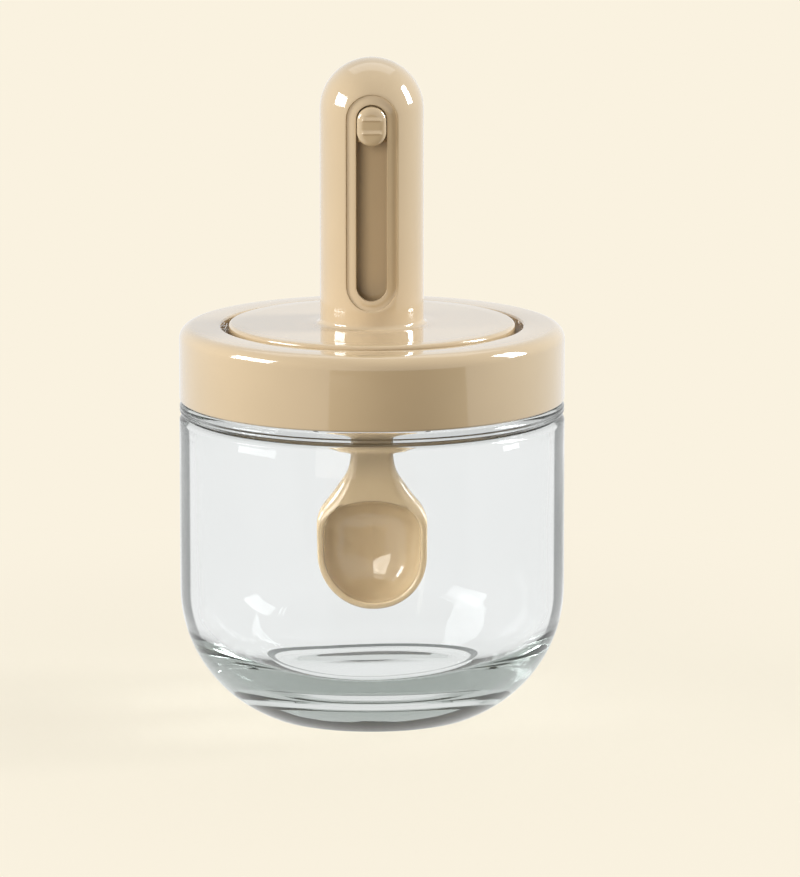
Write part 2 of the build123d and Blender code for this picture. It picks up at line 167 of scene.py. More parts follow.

# Painted dark lines in the glass's colour, which stand in for darker surroundings that the glass bends
# into view. Each pair says where a line begins and where it is full:
# the outline by how far the surface turns from the eye, the ring by its reach past the floor's edge, and
# all by height
OUTLINE_INNER = (0.67, 0.7)
OUTLINE_OUTER = (0.92, 0.86)
OUTLINE_HEIGHTS = (8 * MM, 24 * MM)
OUTSIDE_OFFSETS = (7 * MM, 9 * MM)
ENTERING = (0.9, 0.1)
RING_INNER = (-1.7 * MM, -1.2 * MM)
RING_OUTER = (0.5 * MM, 0)
RING_LOWER = (7 * MM, 8 * MM)
RING_UPPER = (12 * MM, 11 * MM)
BEAD_UPPER = (SHOULDER, SHOULDER - 0.4 * MM)
# How grey the painted band over the bead gets, as a share of the painted line tint
PAINTED_BEAD_GREY = 0.45

# Screw thread
THREAD_PITCH = 4.2 * MM
THREAD_DEPTH = 1.2 * MM
THREAD_ROOT = 2.0 * MM
THREAD_CREST = 1.0 * MM
NECK_THREAD_START = 70.4 * MM
NECK_THREAD_TURNS = 1.25
COLLAR_THREAD_START = 69.8 * MM
COLLAR_THREAD_TURNS = 1.0
COLLAR_THREAD_ANGLE = math.pi / 2
THREAD_FADE = math.radians(12)

# Screw collar
COLLAR_BORE = 38.4 * MM
COLLAR_UNDERSIDE = 80.7 * MM
RECESS_RADIUS = 31.9 * MM
RECESS_OUTSIDE = 33.5 * MM
LEDGE_TOP = 79.3 * MM
LEDGE_BOTTOM = 77.3 * MM
SEALING_BORE = 26.5 * MM
SEALING_OUTSIDE = 28.0 * MM
SEALING_BOTTOM = 75.0 * MM
SMALL_ROUNDING = 0.5 * MM
TINY_ROUNDING = 0.25 * MM
CORNER_STEPS = 8

# Lid and handle
DISC_TOP = 83.7 * MM
DISC_UNDERSIDE = 81.3 * MM
DISC_ROUNDING = 0.8 * MM
SKIRT_INSIDE = 28.3 * MM
HANDLE_RADIUS = 10.95 * MM
HANDLE_BORE = 8.95 * MM
SLOT_HALF = 3.2 * MM
BAND_HALF = 5.3 * MM
BAND_DEPTH = 0.5 * MM
SLOT_LOW_CENTRE = 92.9 * MM
SLOT_HIGH_CENTRE = 128.0 * MM
PATCH_BOTTOM = 86.3 * MM
SPRING_GROOVE_HALF = 2.3 * MM
SPRING_GROOVE_DEPTH = 0.7 * MM
SPRING_GROOVE_BOTTOM = 90.4 * MM
SPRING_GROOVE_TOP = 131.8 * MM
HANDLE_COLUMNS = 128
PATCH_COLUMNS = 14
DOME_ROWS = 24
PATCH_DOME_ROWS = 14
SHAFT_ROWS = 30

# Spoon
SHANK_HALF = 4.4 * MM
SHANK_DEPTH = 5 * MM
SHANK_ROUNDING = 1.0 * MM
BOWL_DEPTH = 10.5 * MM
BOWL_BACK_ROUNDING = 8 * MM
BOWL_SIDE_TOP = 41 * MM
BOWL_SHOULDER = 7.5 * MM
NECK_TOP = 60.2 * MM
NECK_PLAIN_SHARE = 0.55
RIM_WIDTH = 1.3 * MM
HOLLOW_TOP = 46.3 * MM
HOLLOW_SIDE_TOP = 43 * MM
HOLLOW_CORNER = 6.3 * MM
HOLLOW_DEPTH = 8.6 * MM
HOLLOW_MIDDLE_BELOW_TOP = 8.1 * MM
HOLLOW_WALL = 0.9 * MM
BOWL_MIDDLE_SHARE = 0.85
SPOON_EDGE = 0.45 * MM
SPOON_SHOULDER_EDGE = 2.5 * MM
HOLLOW_EDGE = 0.35 * MM

# Powers that crowd the points of the spoon's back and hollow towards their outlines
BACK_CROWDING = 1.6
HOLLOW_CROWDING = 1.8

# Thumb button
BUTTON_EDGE = 1.5 * MM
BUTTON_EDGE_DEPTH = 1.0 * MM
BUTTON_BACK = -8.7 * MM
RIDGE_SPACING = 2.8 * MM
RIDGE_HEIGHT = 0.3 * MM
RIDGE_UPPER_SIDE = 0.75 * MM
RIDGE_LOWER_SIDE = 0.35 * MM
RIDGE_HALF_WIDTH = 1.95 * MM
RIDGE_FADE = 0.3 * MM

# Stage
FLOOR_RADIUS = 6
FLOOR_FADE = (0.05, 0.2)
MAT_REACH = (0.07, 1.3)
MAT_ANGLES = (-24, -8, 12, 34, 56)
FLOOR_GAP = 0.1 * MM
LAMP_DISTANCE = 0.8
LAMP_TARGET = 70 * MM
GLASS_BOUNCES = 32
FRAME_PIXELS = 877
PIXELS_PER_METRE = 4720
AIM_ACROSS = 5.93 * MM
AIM_HEIGHT = 58.6 * MM


def smooth(low, high, value):
    """0 below low, 1 above high, and an even S-curve between them."""
    share = min(1, max(0, (value - low) / (high - low)))
    return share * share * (3 - 2 * share)


def between(start, end, share):
    """The value at a share of the way from start to end."""
    return start + (end - start) * share


def steps_between(start, end, count):
    """Evenly spaced values after start, up to and with end."""
    return [between(start, end, (step + 1) / count) for step in range(count)]


def upright(across, start, end, count):
    """Evenly spaced points of an upright line, after its start."""
    return [(across, height) for height in steps_between(start, end, count)]


def level(start, end, height, count):
    """Evenly spaced points of a level line, after its start."""
    return [(across, height) for across in steps_between(start, end, count)]


def arc(centre, radius, start, end, count):
    """Points on an arc, both ends included. Angles are in degrees, 0 outwards and 90 up."""
    points = []
    for step in range(count + 1):
        angle = math.radians(between(start, end, step / count))
        points.append((centre[0] + radius * math.cos(angle), centre[1] + radius * math.sin(angle)))
    return points


def rounded_outline(corners, count):
    """Points of a closed outline. Each corner is (across, height, rounding)."""
    points = []
    for index, (across, height, rounding) in enumerate(corners):
        corner = Vector((across, height))
        before = (Vector(corners[index - 1][:2]) - corner).normalized()
        after = (Vector(corners[(index + 1) % len(corners)][:2]) - corner).normalized()
        half = before.angle(after) / 2
        centre = corner + (before + after).normalized() * (rounding / math.sin(half))
        first = corner + before * (rounding / math.tan(half)) - centre
        last = corner + after * (rounding / math.tan(half)) - centre
        sweep = math.atan2(first.x * last.y - first.y * last.x, first.dot(last))
        start = math.degrees(math.atan2(first.y, first.x))
        points += arc(centre, rounding, start, start + math.degrees(sweep), count)
    return points


def turned_shell(rows, segments, shape, closed=False, left_open=None):
    """Vertices and faces of a turned shell whose first column is at the front.

    Rows are (radius, height). Shape may move a vertex, and left_open says which faces to leave out.
    """
    vertices = []
    for index, (radius, height) in enumerate(rows):
        for segment in range(segments):
            angle = FRONT + TURN * segment / segments
            across, up = shape(index, angle, radius, height)
            vertices.append((across * math.cos(angle), across * math.sin(angle), up))
    faces = []
    for index in range(len(rows) if closed else len(rows) - 1):
        following = (index + 1) % len(rows)
        for segment in range(segments):
            if left_open and left_open(index, segment):
                continue
            beside = (segment + 1) % segments
            row, below = index * segments, following * segments
            faces.append((row + segment, row + beside, below + beside, below + segment))
    return vertices, faces


def add_grid(vertices, faces, columns):
    """Adds columns of points as a sheet of quads."""
    first = len(vertices)
    height = len(columns[0])
    for column in columns:
        vertices.extend(column)
    for index in range(len(columns) - 1):
        for step in range(height - 1):
            corner = first + index * height + step
            faces.append((corner, corner + 1, corner + height + 1, corner + height))


def new_piece(name, vertices, faces, finish, body, node, sharp_angle=40, mirrored=False):
    """Makes a smooth-shaded piece that stands for a CAD node and rides on its body."""
    mesh = bpy.data.meshes.new(name)
    mesh.from_pydata(vertices, [], faces)
    shape = bmesh.new()
    shape.from_mesh(mesh)
    bmesh.ops.remove_doubles(shape, verts=shape.verts, dist=0.0005 * MM)
    if mirrored:
        everything = shape.verts[:] + shape.edges[:] + shape.faces[:]
        bmesh.ops.mirror(shape, geom=everything, axis="X", merge_dist=0.0005 * MM)
    bmesh.ops.dissolve_degenerate(shape, dist=0.0002 * MM, edges=shape.edges)
    loose = [vertex for vertex in shape.verts if not vertex.link_faces]
    bmesh.ops.delete(shape, geom=loose, context="VERTS")
    bmesh.ops.recalc_face_normals(shape, faces=shape.faces)
    for face in shape.faces:
        face.smooth = True
    shape.to_mesh(mesh)
    shape.free()
    mesh.set_sharp_from_angle(angle=math.radians(sharp_angle))
    mesh.materials.append(made_once(finish))
    piece = bpy.data.objects.new(name, mesh)
    bpy.context.scene.collection.objects.link(piece)
    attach(piece, body)
    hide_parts(node)


def fill(tree, node, inputs):
    """Sets a node's inputs to constants, or links them to the outputs of other nodes."""
    for name, value in inputs.items():
        if isinstance(value, bpy.types.NodeSocket):
            tree.links.new(value, node.inputs[name])
        else:
            node.inputs[name].default_value = value


def add_node(tree, kind, inputs, output=0, **settings):
    """Adds a shader node and returns one of its outputs."""
    node = tree.nodes.new("ShaderNode" + kind)
    for name, value in settings.items():
        setattr(node, name, value)
    fill(tree, node, inputs)
    return node.outputs[output]


def made_once(finish):
    """The material that a function fills in, made on its first use and named after the function.

    The function gets the node tree, its Principled shader and the piece's own coordinates.
    """
    name = finish.__name__
    if name not in bpy.data.materials:
        material = bpy.data.materials.new(name)
        material.use_nodes = True
        tree = material.node_tree
        finish(tree, tree.nodes["Principled BSDF"], add_node(tree, "TexCoord", {}, "Object"))
    return bpy.data.materials[name]


def noise(tree, place, scale, detail=2.0, stretch=None):
    """The output of a noise texture, scale per metre, stretched along an axis if asked."""
    if stretch:
        place = add_node(tree, "Mapping", {"Vector": place, "Scale": stretch})
    return add_node(tree, "TexNoise", {"Vector": place, "Scale": scale, "Detail": detail}, "Fac")


def to_range(tree, value, low, high):
    """A noise value from 0.3 to 0.7 mapped to a range."""
    return add_node(tree, "MapRange", {
        "Value": value, "From Min": 0.3, "From Max": 0.7, "To Min": low, "To Max": high
    })


def smooth_range(tree, value, start, end, at_start=0, at_end=1):
    """One number where the value is before start, another past end, and an S-curve between them."""
    return add_node(tree, "MapRange", {
        "Value": value, "From Min": start, "From Max": end, "To Min": at_start, "To Max": at_end
    }, interpolation_type="SMOOTHSTEP")


def combined(tree, operation, *values):
    """One value from several, joined pair by pair with Math nodes."""
    result = values[0]
    for value in values[1:]:
        result = add_node(tree, "Math", {0: result, 1: value}, operation=operation)
    return result


def mixed(tree, factor, first, second):
    """A colour between two."""
    return add_node(tree, "Mix", {"Factor": factor, "A": first, "B": second}, "Result", data_type="RGBA")


def two_tones(tree, value, dark, light):
    """A colour that wanders between two tones with a noise value."""
    return mixed(tree, to_range(tree, value, 0, 1), (*dark, 1), (*light, 1))


def ray(tree, kind):
    """Whether the ray is of a kind, or how often it has bounced in one way."""
    return add_node(tree, "LightPath", {}, kind)


def show(tree, factor, first, second):
    """Makes the material or world show one shader where the factor is 0 and another where it is 1."""
    output = "World Output" if "World Output" in tree.nodes else "Material Output"
    surface = add_node(tree, "MixShader", {0: factor, 1: first, 2: second})
    fill(tree, tree.nodes[output], {"Surface": surface})


def shade(tone, factor):
    """A colour made darker or lighter."""
    return tuple(min(1, part * factor) for part in tone)


def add_finish(tree, shader, place, tones, clouds, polish, smears, grain, depth, stretch=None):
    """Makes a shader's colour, polish and surface wander a little, and returns the colour.

    Tones and polish are (low, high). Clouds, smears and grain are noises (scale per metre, detail).
    """
    tone = two_tones(tree, noise(tree, place, *clouds, stretch), *tones)
    bump = {"Height": noise(tree, place, *grain, stretch), "Strength": 1.0, "Distance": depth}
    fill(tree, shader, {
        "Base Color": tone,
        "Roughness": to_range(tree, noise(tree, place, *smears, stretch), *polish),
        "Normal": add_node(tree, "Bump", bump),
    })
    return tone


def glossy_beige_plastic(tree, shader, place):
    """Polished moulded plastic: faint tone changes and a hard, slightly uneven polish."""
    beige = tuple(bpy.context.scene.seasoning_plastic.colour)
    tones = shade(beige, 0.97), shade(beige, 1.03)
    add_finish(tree, shader, place, tones, (45, 2), (0.06, 0.1), (160, 2), (150, 2), 0.0008 * MM)
    fill(tree, shader, {"Coat Weight": 0.8, "Coat Roughness": 0.05})


def satin_beige_plastic(tree, shader, place):
    """Satin moulded plastic for the pieces inside, with the fine grain of its mould, its colour lightened
    as painted light that lifts the shade in the slot.
    """
    beige = tuple(bpy.context.scene.seasoning_plastic.lightened_inner_colour)
    tones = shade(beige, 0.94), shade(beige, 1.05)
    add_finish(tree, shader, place, tones, (60, 2), (0.42, 0.55), (300, 2), (2600, 3), 0.02 * MM)


def cloudy_silicone(tree, shader, place):
    """Cloudy matt silicone."""
    tones = (0.84, 0.84, 0.81), (0.92, 0.92, 0.90)
    add_finish(tree, shader, place, tones, (90, 4), (0.4, 0.6), (700, 2), (3000, 2), 0.015 * MM)


def rolled_spring_steel(tree, shader, place):
    """Rolled steel strip, with fine streaks along its length."""
    tones = (0.56, 0.56, 0.57), (0.74, 0.74, 0.75)
    streaks = (1800, 3)
    along = (1, 1, 0.03)
    add_finish(tree, shader, place, tones, streaks, (0.22, 0.4), streaks, streaks, 0.004 * MM, along)
    fill(tree, shader, {"Metallic": 1.0})


def pressed_clear_glass(tree, shader, place):
    """Pressed clear glass: faint surface ripple, painted dark lines near its outline, floor and bead, a
    pale tint where it is thick, and light let through.
    """
    glass = bpy.context.scene.seasoning_glass
    tint = tuple(glass.tint)
    tones = shade(tint, 0.995), shade(tint, 1.005)
    tone = add_finish(tree, shader, place, tones, (30, 2), (0.0, 0.012), (120, 2), (110, 2), 0.012 * MM)
    fill(tree, shader, {
        # The colour is darkened in painted lines that stand in for darker surroundings bent into view
        "Base Color": mixed(tree, painted_dark_lines(tree, place, glass), tone, (*glass.painted_line_tint, 1)),
        "IOR": 1.5,
        "Transmission Weight": 1.0,
        "Specular Tint": (0.25, 0.25, 0.25, 1),
    })
    lamp_light = add_node(tree, "BsdfTransparent", {"Color": (*shade(tint, 0.87), 1)})
    show(tree, ray(tree, "Is Shadow Ray"), shader.outputs[0], lamp_light)
    body = add_node(tree, "VolumeAbsorption", {"Color": (*glass.body_tint, 1), "Density": 45.0})
    fill(tree, tree.nodes["Material Output"], {"Volume": body})


def painted_dark_lines(tree, place, glass):
    """1 in the painted dark lines, which stand in for darker surroundings that the glass bends into view:
    along its outline, round its floor and, as a paler grey, over the bead.
    """
    turned = add_node(tree, "LayerWeight", {"Blend": 0.5}, "Facing")
    height = add_node(tree, "SeparateXYZ", {0: place}, "Z")
    outwards = add_node(tree, "VectorMath", {0: place, 1: (1, 1, 0)}, operation="MULTIPLY")
    reach = add_node(tree, "VectorMath", {0: outwards}, "Value", operation="LENGTH")
    surface = tree.nodes.new("ShaderNodeNewGeometry")
    # The outside is where the surface faces away from the jar's upright axis
    away = add_node(
        tree, "VectorMath", {0: outwards, 1: surface.outputs["Normal"]}, "Value", operation="DOT_PRODUCT"
    )
    outside = smooth_range(tree, away, *OUTSIDE_OFFSETS)
    entering = smooth_range(tree, surface.outputs["Backfacing"], *ENTERING)
    outline = combined(
        tree, "MULTIPLY",
        smooth_range(tree, turned, *OUTLINE_INNER),
        smooth_range(tree, turned, *OUTLINE_OUTER),
        outside,
        entering,
        smooth_range(tree, height, *OUTLINE_HEIGHTS),
    )
    bead = combined(
        tree, "MULTIPLY",
        smooth_range(tree, height, BEAD_BOTTOM - GROOVE_HEIGHT, BEAD_BOTTOM, at_end=PAINTED_BEAD_GREY),
        smooth_range(tree, height, *BEAD_UPPER),
        outside,
        entering,
    )
    floor_edge = jar_high.x - glass.wall - FLOOR_CURVE
    ring = combined(
        tree, "MULTIPLY",
        smooth_range(tree, reach, *(floor_edge + offset for offset in RING_INNER)),
        smooth_range(tree, reach, *(floor_edge + offset for offset in RING_OUTER)),
        smooth_range(tree, height, *RING_LOWER),
        smooth_range(tree, height, *RING_UPPER),
        entering,
    )
    return combined(tree, "MAXIMUM", outline, ring, bead)


def thread_height(angle, height, start_angle, start_height, turns):
    """How far the thread stands out of its wall at an angle and a height, its ends faded."""
    slope = THREAD_DEPTH / ((THREAD_ROOT - THREAD_CREST) / 2)
    tallest = 0
    turned = (angle - start_angle) % TURN
    while turned <= turns * TURN:
        middle = start_height + THREAD_PITCH * turned / TURN
        rise = min(THREAD_DEPTH, (THREAD_ROOT / 2 - abs(height - middle)) * slope)
        ends = smooth(0, THREAD_FADE, turned) * smooth(0, THREAD_FADE, turns * TURN - turned)
        tallest = max(tallest, rise * ends)
        turned += TURN
    return tallest


def jar_outside(glass):
    """The jar's outside from the middle of the punt to the bead's top, as (radius, height) points."""
    radius = jar_high.x
    curve_centre = (radius - glass.foot_curve, FOOT_CURVE_TOP)
    punt_radius = (FOOT_RING_INSIDE**2 + PUNT_DEPTH**2) / (2 * PUNT_DEPTH)
    punt_edge = math.degrees(math.asin(FOOT_RING_INSIDE / punt_radius))
    inside_reach = glass.foot_curve - FOOT_ROUNDING
    drop = FOOT_CURVE_TOP - FOOT_ROUNDING
    rounding_centre = (curve_centre[0] + math.sqrt(inside_reach**2 - drop**2), FOOT_ROUNDING)
    meeting = -math.degrees(math.asin(drop / inside_reach))
    points = arc((0, PUNT_DEPTH - punt_radius), punt_radius, 90, 90 - punt_edge, 8)
    points += [(between(FOOT_RING_INSIDE, rounding_centre[0], 0.5), 0)]
    points += arc(rounding_centre, FOOT_ROUNDING, -90, meeting, 8)
    points += arc(curve_centre, glass.foot_curve, meeting, 0, 28)[1:]
    groove_top = BEAD_BOTTOM - GROOVE_HEIGHT
    points += upright(radius, FOOT_CURVE_TOP, groove_top - SMALL_ROUNDING, 14)
    points += [(radius - inwards, groove_top - down) for inwards, down in GROOVE_LIP]
    bead_foot = radius - BEAD_BULGE
    points += [(bead_foot + outwards, BEAD_BOTTOM - down) for outwards, down in GROOVE_FOOT]
    bead_radius = BEAD_HEIGHT**2 / (8 * BEAD_BULGE) + BEAD_BULGE / 2
    bead_half = math.degrees(math.asin(BEAD_HEIGHT / 2 / bead_radius))
    bead_middle = SHOULDER - BEAD_HEIGHT / 2
    for across, height in arc((radius - bead_radius, bead_middle), bead_radius, -bead_half, bead_half, 24):
        line = 1 - smooth(0, MOULD_LINE_HALF, abs(height - bead_middle))
        points.append((across - MOULD_LINE_DEPTH * line, height))
    return points


def jar_neck():
    """The neck's outer wall with rows close enough for its thread, and the rounded rim."""
    root = arc((NECK_RADIUS + NECK_ROOT, SHOULDER + NECK_ROOT), NECK_ROOT, 270, 180, 5)
    wall_top = jar_high.z - RIM_ROUNDING
    wall = upright(NECK_RADIUS, root[-1][1], wall_top, 44)
    outer = arc((NECK_RADIUS - RIM_ROUNDING, wall_top), RIM_ROUNDING, 0, 90, 5)[1:]
    inner = arc((NECK_BORE + RIM_ROUNDING, wall_top), RIM_ROUNDING, 90, 180, 5)
    return root + wall + outer + inner


def jar_inside(glass):
    """The inside from the bore down to the middle of the floor."""
    cavity = jar_high.x - glass.wall
    both_curves = INNER_SHOULDER + INNER_SHOULDER_FOOT
    turn = math.acos(1 - (cavity - NECK_BORE) / both_curves)
    curve_end = INNER_SHOULDER_TOP - both_curves * math.sin(turn)
    turn = math.degrees(turn)
    points = upright(NECK_BORE, jar_high.z - RIM_ROUNDING, INNER_SHOULDER_TOP, 4)
    points += arc((NECK_BORE + INNER_SHOULDER, INNER_SHOULDER_TOP), INNER_SHOULDER, 180, 180 + turn, 9)[1:]
    points += arc((cavity - INNER_SHOULDER_FOOT, curve_end), INNER_SHOULDER_FOOT, turn, 0, 9)[1:]
    curve_top = glass.floor_height + FLOOR_STEP + FLOOR_CURVE
    step_edge = cavity - FLOOR_CURVE
    points += upright(cavity, curve_end, curve_top, 14)
    points += arc((step_edge, curve_top), FLOOR_CURVE, 0, -90, 24)[1:]
    for inwards, upwards in FLOOR_STEP_POINTS:
        points.append((step_edge - inwards * FLOOR_STEP, glass.floor_height + upwards * FLOOR_STEP))
    return points + level(points[-1][0], 0, glass.floor_height, 10)


def pressed_waves(angle, radius, height):
    """How far the pressed inside wanders inwards and upwards at a point, as shares of the waviness."""
    calm = 1 - smooth(CALM_FROM, CALM_ABOVE, height)
    oval = math.sin(2 * angle + OVAL_START)
    ripple = RIPPLE_SHARE * math.sin(5 * angle + RIPPLE_LEAN * height)
    sag = math.cos(3 * angle + SAG_START) * smooth(0, SAG_RADIUS, radius)
    return calm * (1 + oval + ripple) * smooth(0, STILL_RADIUS, radius), SAG_SHARE * calm * sag


def make_jar():
    """The glass jar as one turned wall with its thread."""
    glass = bpy.context.scene.seasoning_glass
    outside = jar_outside(glass)
    neck = jar_neck()
    neck_start = len(outside)
    inside_start = neck_start + len(neck)

    def shape(index, angle, radius, height):
        if neck_start <= index < inside_start and radius == NECK_RADIUS:
            radius += thread_height(angle, height, 0, NECK_THREAD_START, NECK_THREAD_TURNS)
        if index >= inside_start:
            inwards, upwards = pressed_waves(angle, radius, height)
            radius -= glass.waviness * inwards
            height += glass.waviness * upwards
        return radius, height

    vertices, faces = turned_shell(outside + neck + jar_inside(glass), ROUND_SEGMENTS, shape)
    new_piece(
        "jar_glass", vertices, faces, pressed_clear_glass, "jar", "glass_jar", sharp_angle=60
    )


def make_collar():
    """The screw collar: a rounded ring with the lid's recess above and the thread inside."""
    bottom, top, radius = collar_low.z, collar_high.z, collar_high.x
    small, tiny = SMALL_ROUNDING, TINY_ROUNDING
    corners = [
        (radius, bottom, small),
        (radius, top, bpy.context.scene.seasoning_plastic.top_rounding),
        (RECESS_RADIUS, top, small),
        (RECESS_RADIUS, LEDGE_TOP, tiny),
        (SEALING_BORE, LEDGE_TOP, small),
        (SEALING_BORE, SEALING_BOTTOM, tiny),
        (SEALING_OUTSIDE, SEALING_BOTTOM, tiny),
        (SEALING_OUTSIDE, LEDGE_BOTTOM, tiny),
        (RECESS_OUTSIDE, LEDGE_BOTTOM, tiny),
        (RECESS_OUTSIDE, COLLAR_UNDERSIDE, tiny),
        (COLLAR_BORE, COLLAR_UNDERSIDE, tiny),
        (COLLAR_BORE, bottom, tiny),
    ]
    outline = rounded_outline(corners, CORNER_STEPS)
    wall_start = len(outline) - CORNER_STEPS - 1
    wall = upright(COLLAR_BORE, outline[wall_start - 1][1], outline[wall_start][1], 50)[:-1]

    def shape(index, angle, across, height):
        if index >= wall_start and across == COLLAR_BORE:
            start = COLLAR_THREAD_START
            across -= thread_height(angle, height, COLLAR_THREAD_ANGLE, start, COLLAR_THREAD_TURNS)
        return across, height

    rows = outline[:wall_start] + wall + outline[wall_start:]
    vertices, faces = turned_shell(rows, ROUND_SEGMENTS, shape, closed=True)
    new_piece(
        "collar_ring", vertices, faces, glossy_beige_plastic, "collar", "screw_collar"
    )


def dome_and_shaft(radius, centre_height):
    """Rows from the top of a dome down its round shaft to where the slot's patch ends."""
    dome = arc((0, centre_height), radius, 90, 0, DOME_ROWS)
    return dome + upright(radius, centre_height, PATCH_BOTTOM, SHAFT_ROWS)


def patch_loop(first_row, last_row):
    """The (row, column) of each vertex round the open patch, starting at its upper left."""
    columns = range(-PATCH_COLUMNS, PATCH_COLUMNS + 1)
    loop = [(first_row, column) for column in columns]
    loop += [(row, PATCH_COLUMNS) for row in range(first_row + 1, last_row)]
    loop += [(last_row, column) for column in reversed(columns)]
    loop += [(row, -PATCH_COLUMNS) for row in range(last_row - 1, first_row, -1)]
    return loop


def front_point(across, height, radius, centre_height):
    """A point seen from the front, put on a round shaft with a domed end."""
    above = max(0, height - centre_height)
    return (across, -math.sqrt(radius**2 - across**2 - above**2), height)


def slot_profile(edge):
    """The way from the handle's face over the band into the slot, as (distance, depth) pairs."""
    wall = HANDLE_RADIUS - HANDLE_BORE
    # How far the middle of a rounding lies from the two faces it joins
    inset = edge * (1 - math.sqrt(0.5))
    return [
        (BAND_HALF + edge, 0),
        (BAND_HALF + inset, inset),
        (BAND_HALF, edge),
        (BAND_HALF - 0.3 * edge, BAND_DEPTH - 0.3 * edge),
        (BAND_HALF - edge, BAND_DEPTH),
        (between(BAND_HALF, SLOT_HALF, 0.5), BAND_DEPTH),
        (SLOT_HALF + 1.4 * edge, BAND_DEPTH),
        (SLOT_HALF + inset, BAND_DEPTH + inset),
        (SLOT_HALF, BAND_DEPTH + edge),
        (SLOT_HALF, between(BAND_DEPTH, wall, 0.6)),
        (SLOT_HALF, wall - edge),
        (SLOT_HALF + inset, wall - inset),
        (SLOT_HALF + edge, wall),
    ]


def slot_patch(vertices, faces, outer_loop, inner_loop, centre_height, edge):
    """Joins the open patch of the outside to that of the bore with the band and the slot's walls."""
    def ids(loop):
        return [row * HANDLE_COLUMNS + column % HANDLE_COLUMNS for row, column in loop]

    def add_ring(points):
        first = len(vertices)
        vertices.extend(points)
        rings.append(list(range(first, first + len(points))))

    def add_slot_ring(distances, depth):
        radius = HANDLE_RADIUS - depth
        add_ring([
            front_point(right * distance, foot + up * distance, radius, centre_height)
            for (foot, right, up, _), distance in zip(rays, distances)
        ])

    outer_ids, inner_ids = ids(outer_loop), ids(inner_loop)
    rings = [outer_ids]
    rays = []
    for vertex in outer_ids:
        across, _, height = vertices[vertex]
        foot = min(SLOT_HIGH_CENTRE, max(SLOT_LOW_CENTRE, height))
        reach = math.hypot(across, height - foot)
        rays.append((foot, across / reach, (height - foot) / reach, reach))
    profile = slot_profile(edge)
    for share in (0.3, 0.6, 0.85):
        add_slot_ring([between(reach, profile[0][0], share) for *_, reach in rays], 0)
    for distance, depth in profile:
        add_slot_ring([distance] * len(rays), depth)
    edge_ids = rings[-1]
    for share in (0.4, 0.75):
        points = []
        for edge_id, inner_id in zip(edge_ids, inner_ids):
            across = between(vertices[edge_id][0], vertices[inner_id][0], share)
            height = between(vertices[edge_id][2], vertices[inner_id][2], share)
            points.append(front_point(across, height, HANDLE_BORE, centre_height))
        add_ring(points)
    rings.append(inner_ids)
    for ring, following in zip(rings, rings[1:]):
        for index in range(len(ring)):
            beside = (index + 1) % len(ring)
            faces.append((ring[index], ring[beside], following[beside], following[index]))


def make_lid():
    """The lid's disc and the hollow handle with its slot, as one shell."""
    plastic = bpy.context.scene.seasoning_plastic
    centre_height = lid_high.z - HANDLE_RADIUS
    foot, tiny = plastic.foot_rounding, TINY_ROUNDING
    disc_radius = lid_high.x
    flat_end = disc_radius - DISC_ROUNDING
    outside = dome_and_shaft(HANDLE_RADIUS, centre_height)
    below = arc((HANDLE_RADIUS + foot, DISC_TOP + foot), foot, 180, 270, 7)
    below += level(HANDLE_RADIUS + foot, flat_end, DISC_TOP, 6)
    below += arc((flat_end, DISC_TOP - DISC_ROUNDING), DISC_ROUNDING, 90, 0, 6)[1:]
    below += arc((disc_radius - tiny, lid_low.z + tiny), tiny, 0, -90, 4)
    below += arc((SKIRT_INSIDE + tiny, lid_low.z + tiny), tiny, 270, 180, 4)
    below += [(SKIRT_INSIDE, DISC_UNDERSIDE)]
    below += level(SKIRT_INSIDE, HANDLE_BORE + tiny, DISC_UNDERSIDE, 5)
    below += [(HANDLE_BORE, DISC_UNDERSIDE + tiny)]
    bore = dome_and_shaft(HANDLE_BORE, centre_height)[::-1]
    first_outside = PATCH_DOME_ROWS
    last_outside = len(outside) - 1
    first_bore = len(outside) + len(below)
    last_bore = first_bore + len(bore) - 1 - PATCH_DOME_ROWS

    def left_open(index, segment):
        in_front = segment < PATCH_COLUMNS or segment >= HANDLE_COLUMNS - PATCH_COLUMNS
        in_outside = first_outside <= index < last_outside
        in_bore = first_bore <= index < last_bore
        return in_front and (in_outside or in_bore)

    def shape(index, angle, radius, height):
        behind = math.sin(angle) > 0 and abs(radius * math.cos(angle)) < SPRING_GROOVE_HALF
        along = SPRING_GROOVE_BOTTOM < height < SPRING_GROOVE_TOP
        if index >= first_bore and behind and along:
            radius += SPRING_GROOVE_DEPTH
        return radius, height

    vertices, faces = turned_shell(outside + below + bore, HANDLE_COLUMNS, shape, left_open=left_open)
    outer_loop = patch_loop(first_outside, last_outside)
    inner_loop = [(first_bore + last_outside - row, column) for row, column in outer_loop]
    slot_patch(vertices, faces, outer_loop, inner_loop, centre_height, plastic.band_edge)
    new_piece(
        "lid_and_handle", vertices, faces, glossy_beige_plastic, "lid", "lid_handle"
    )


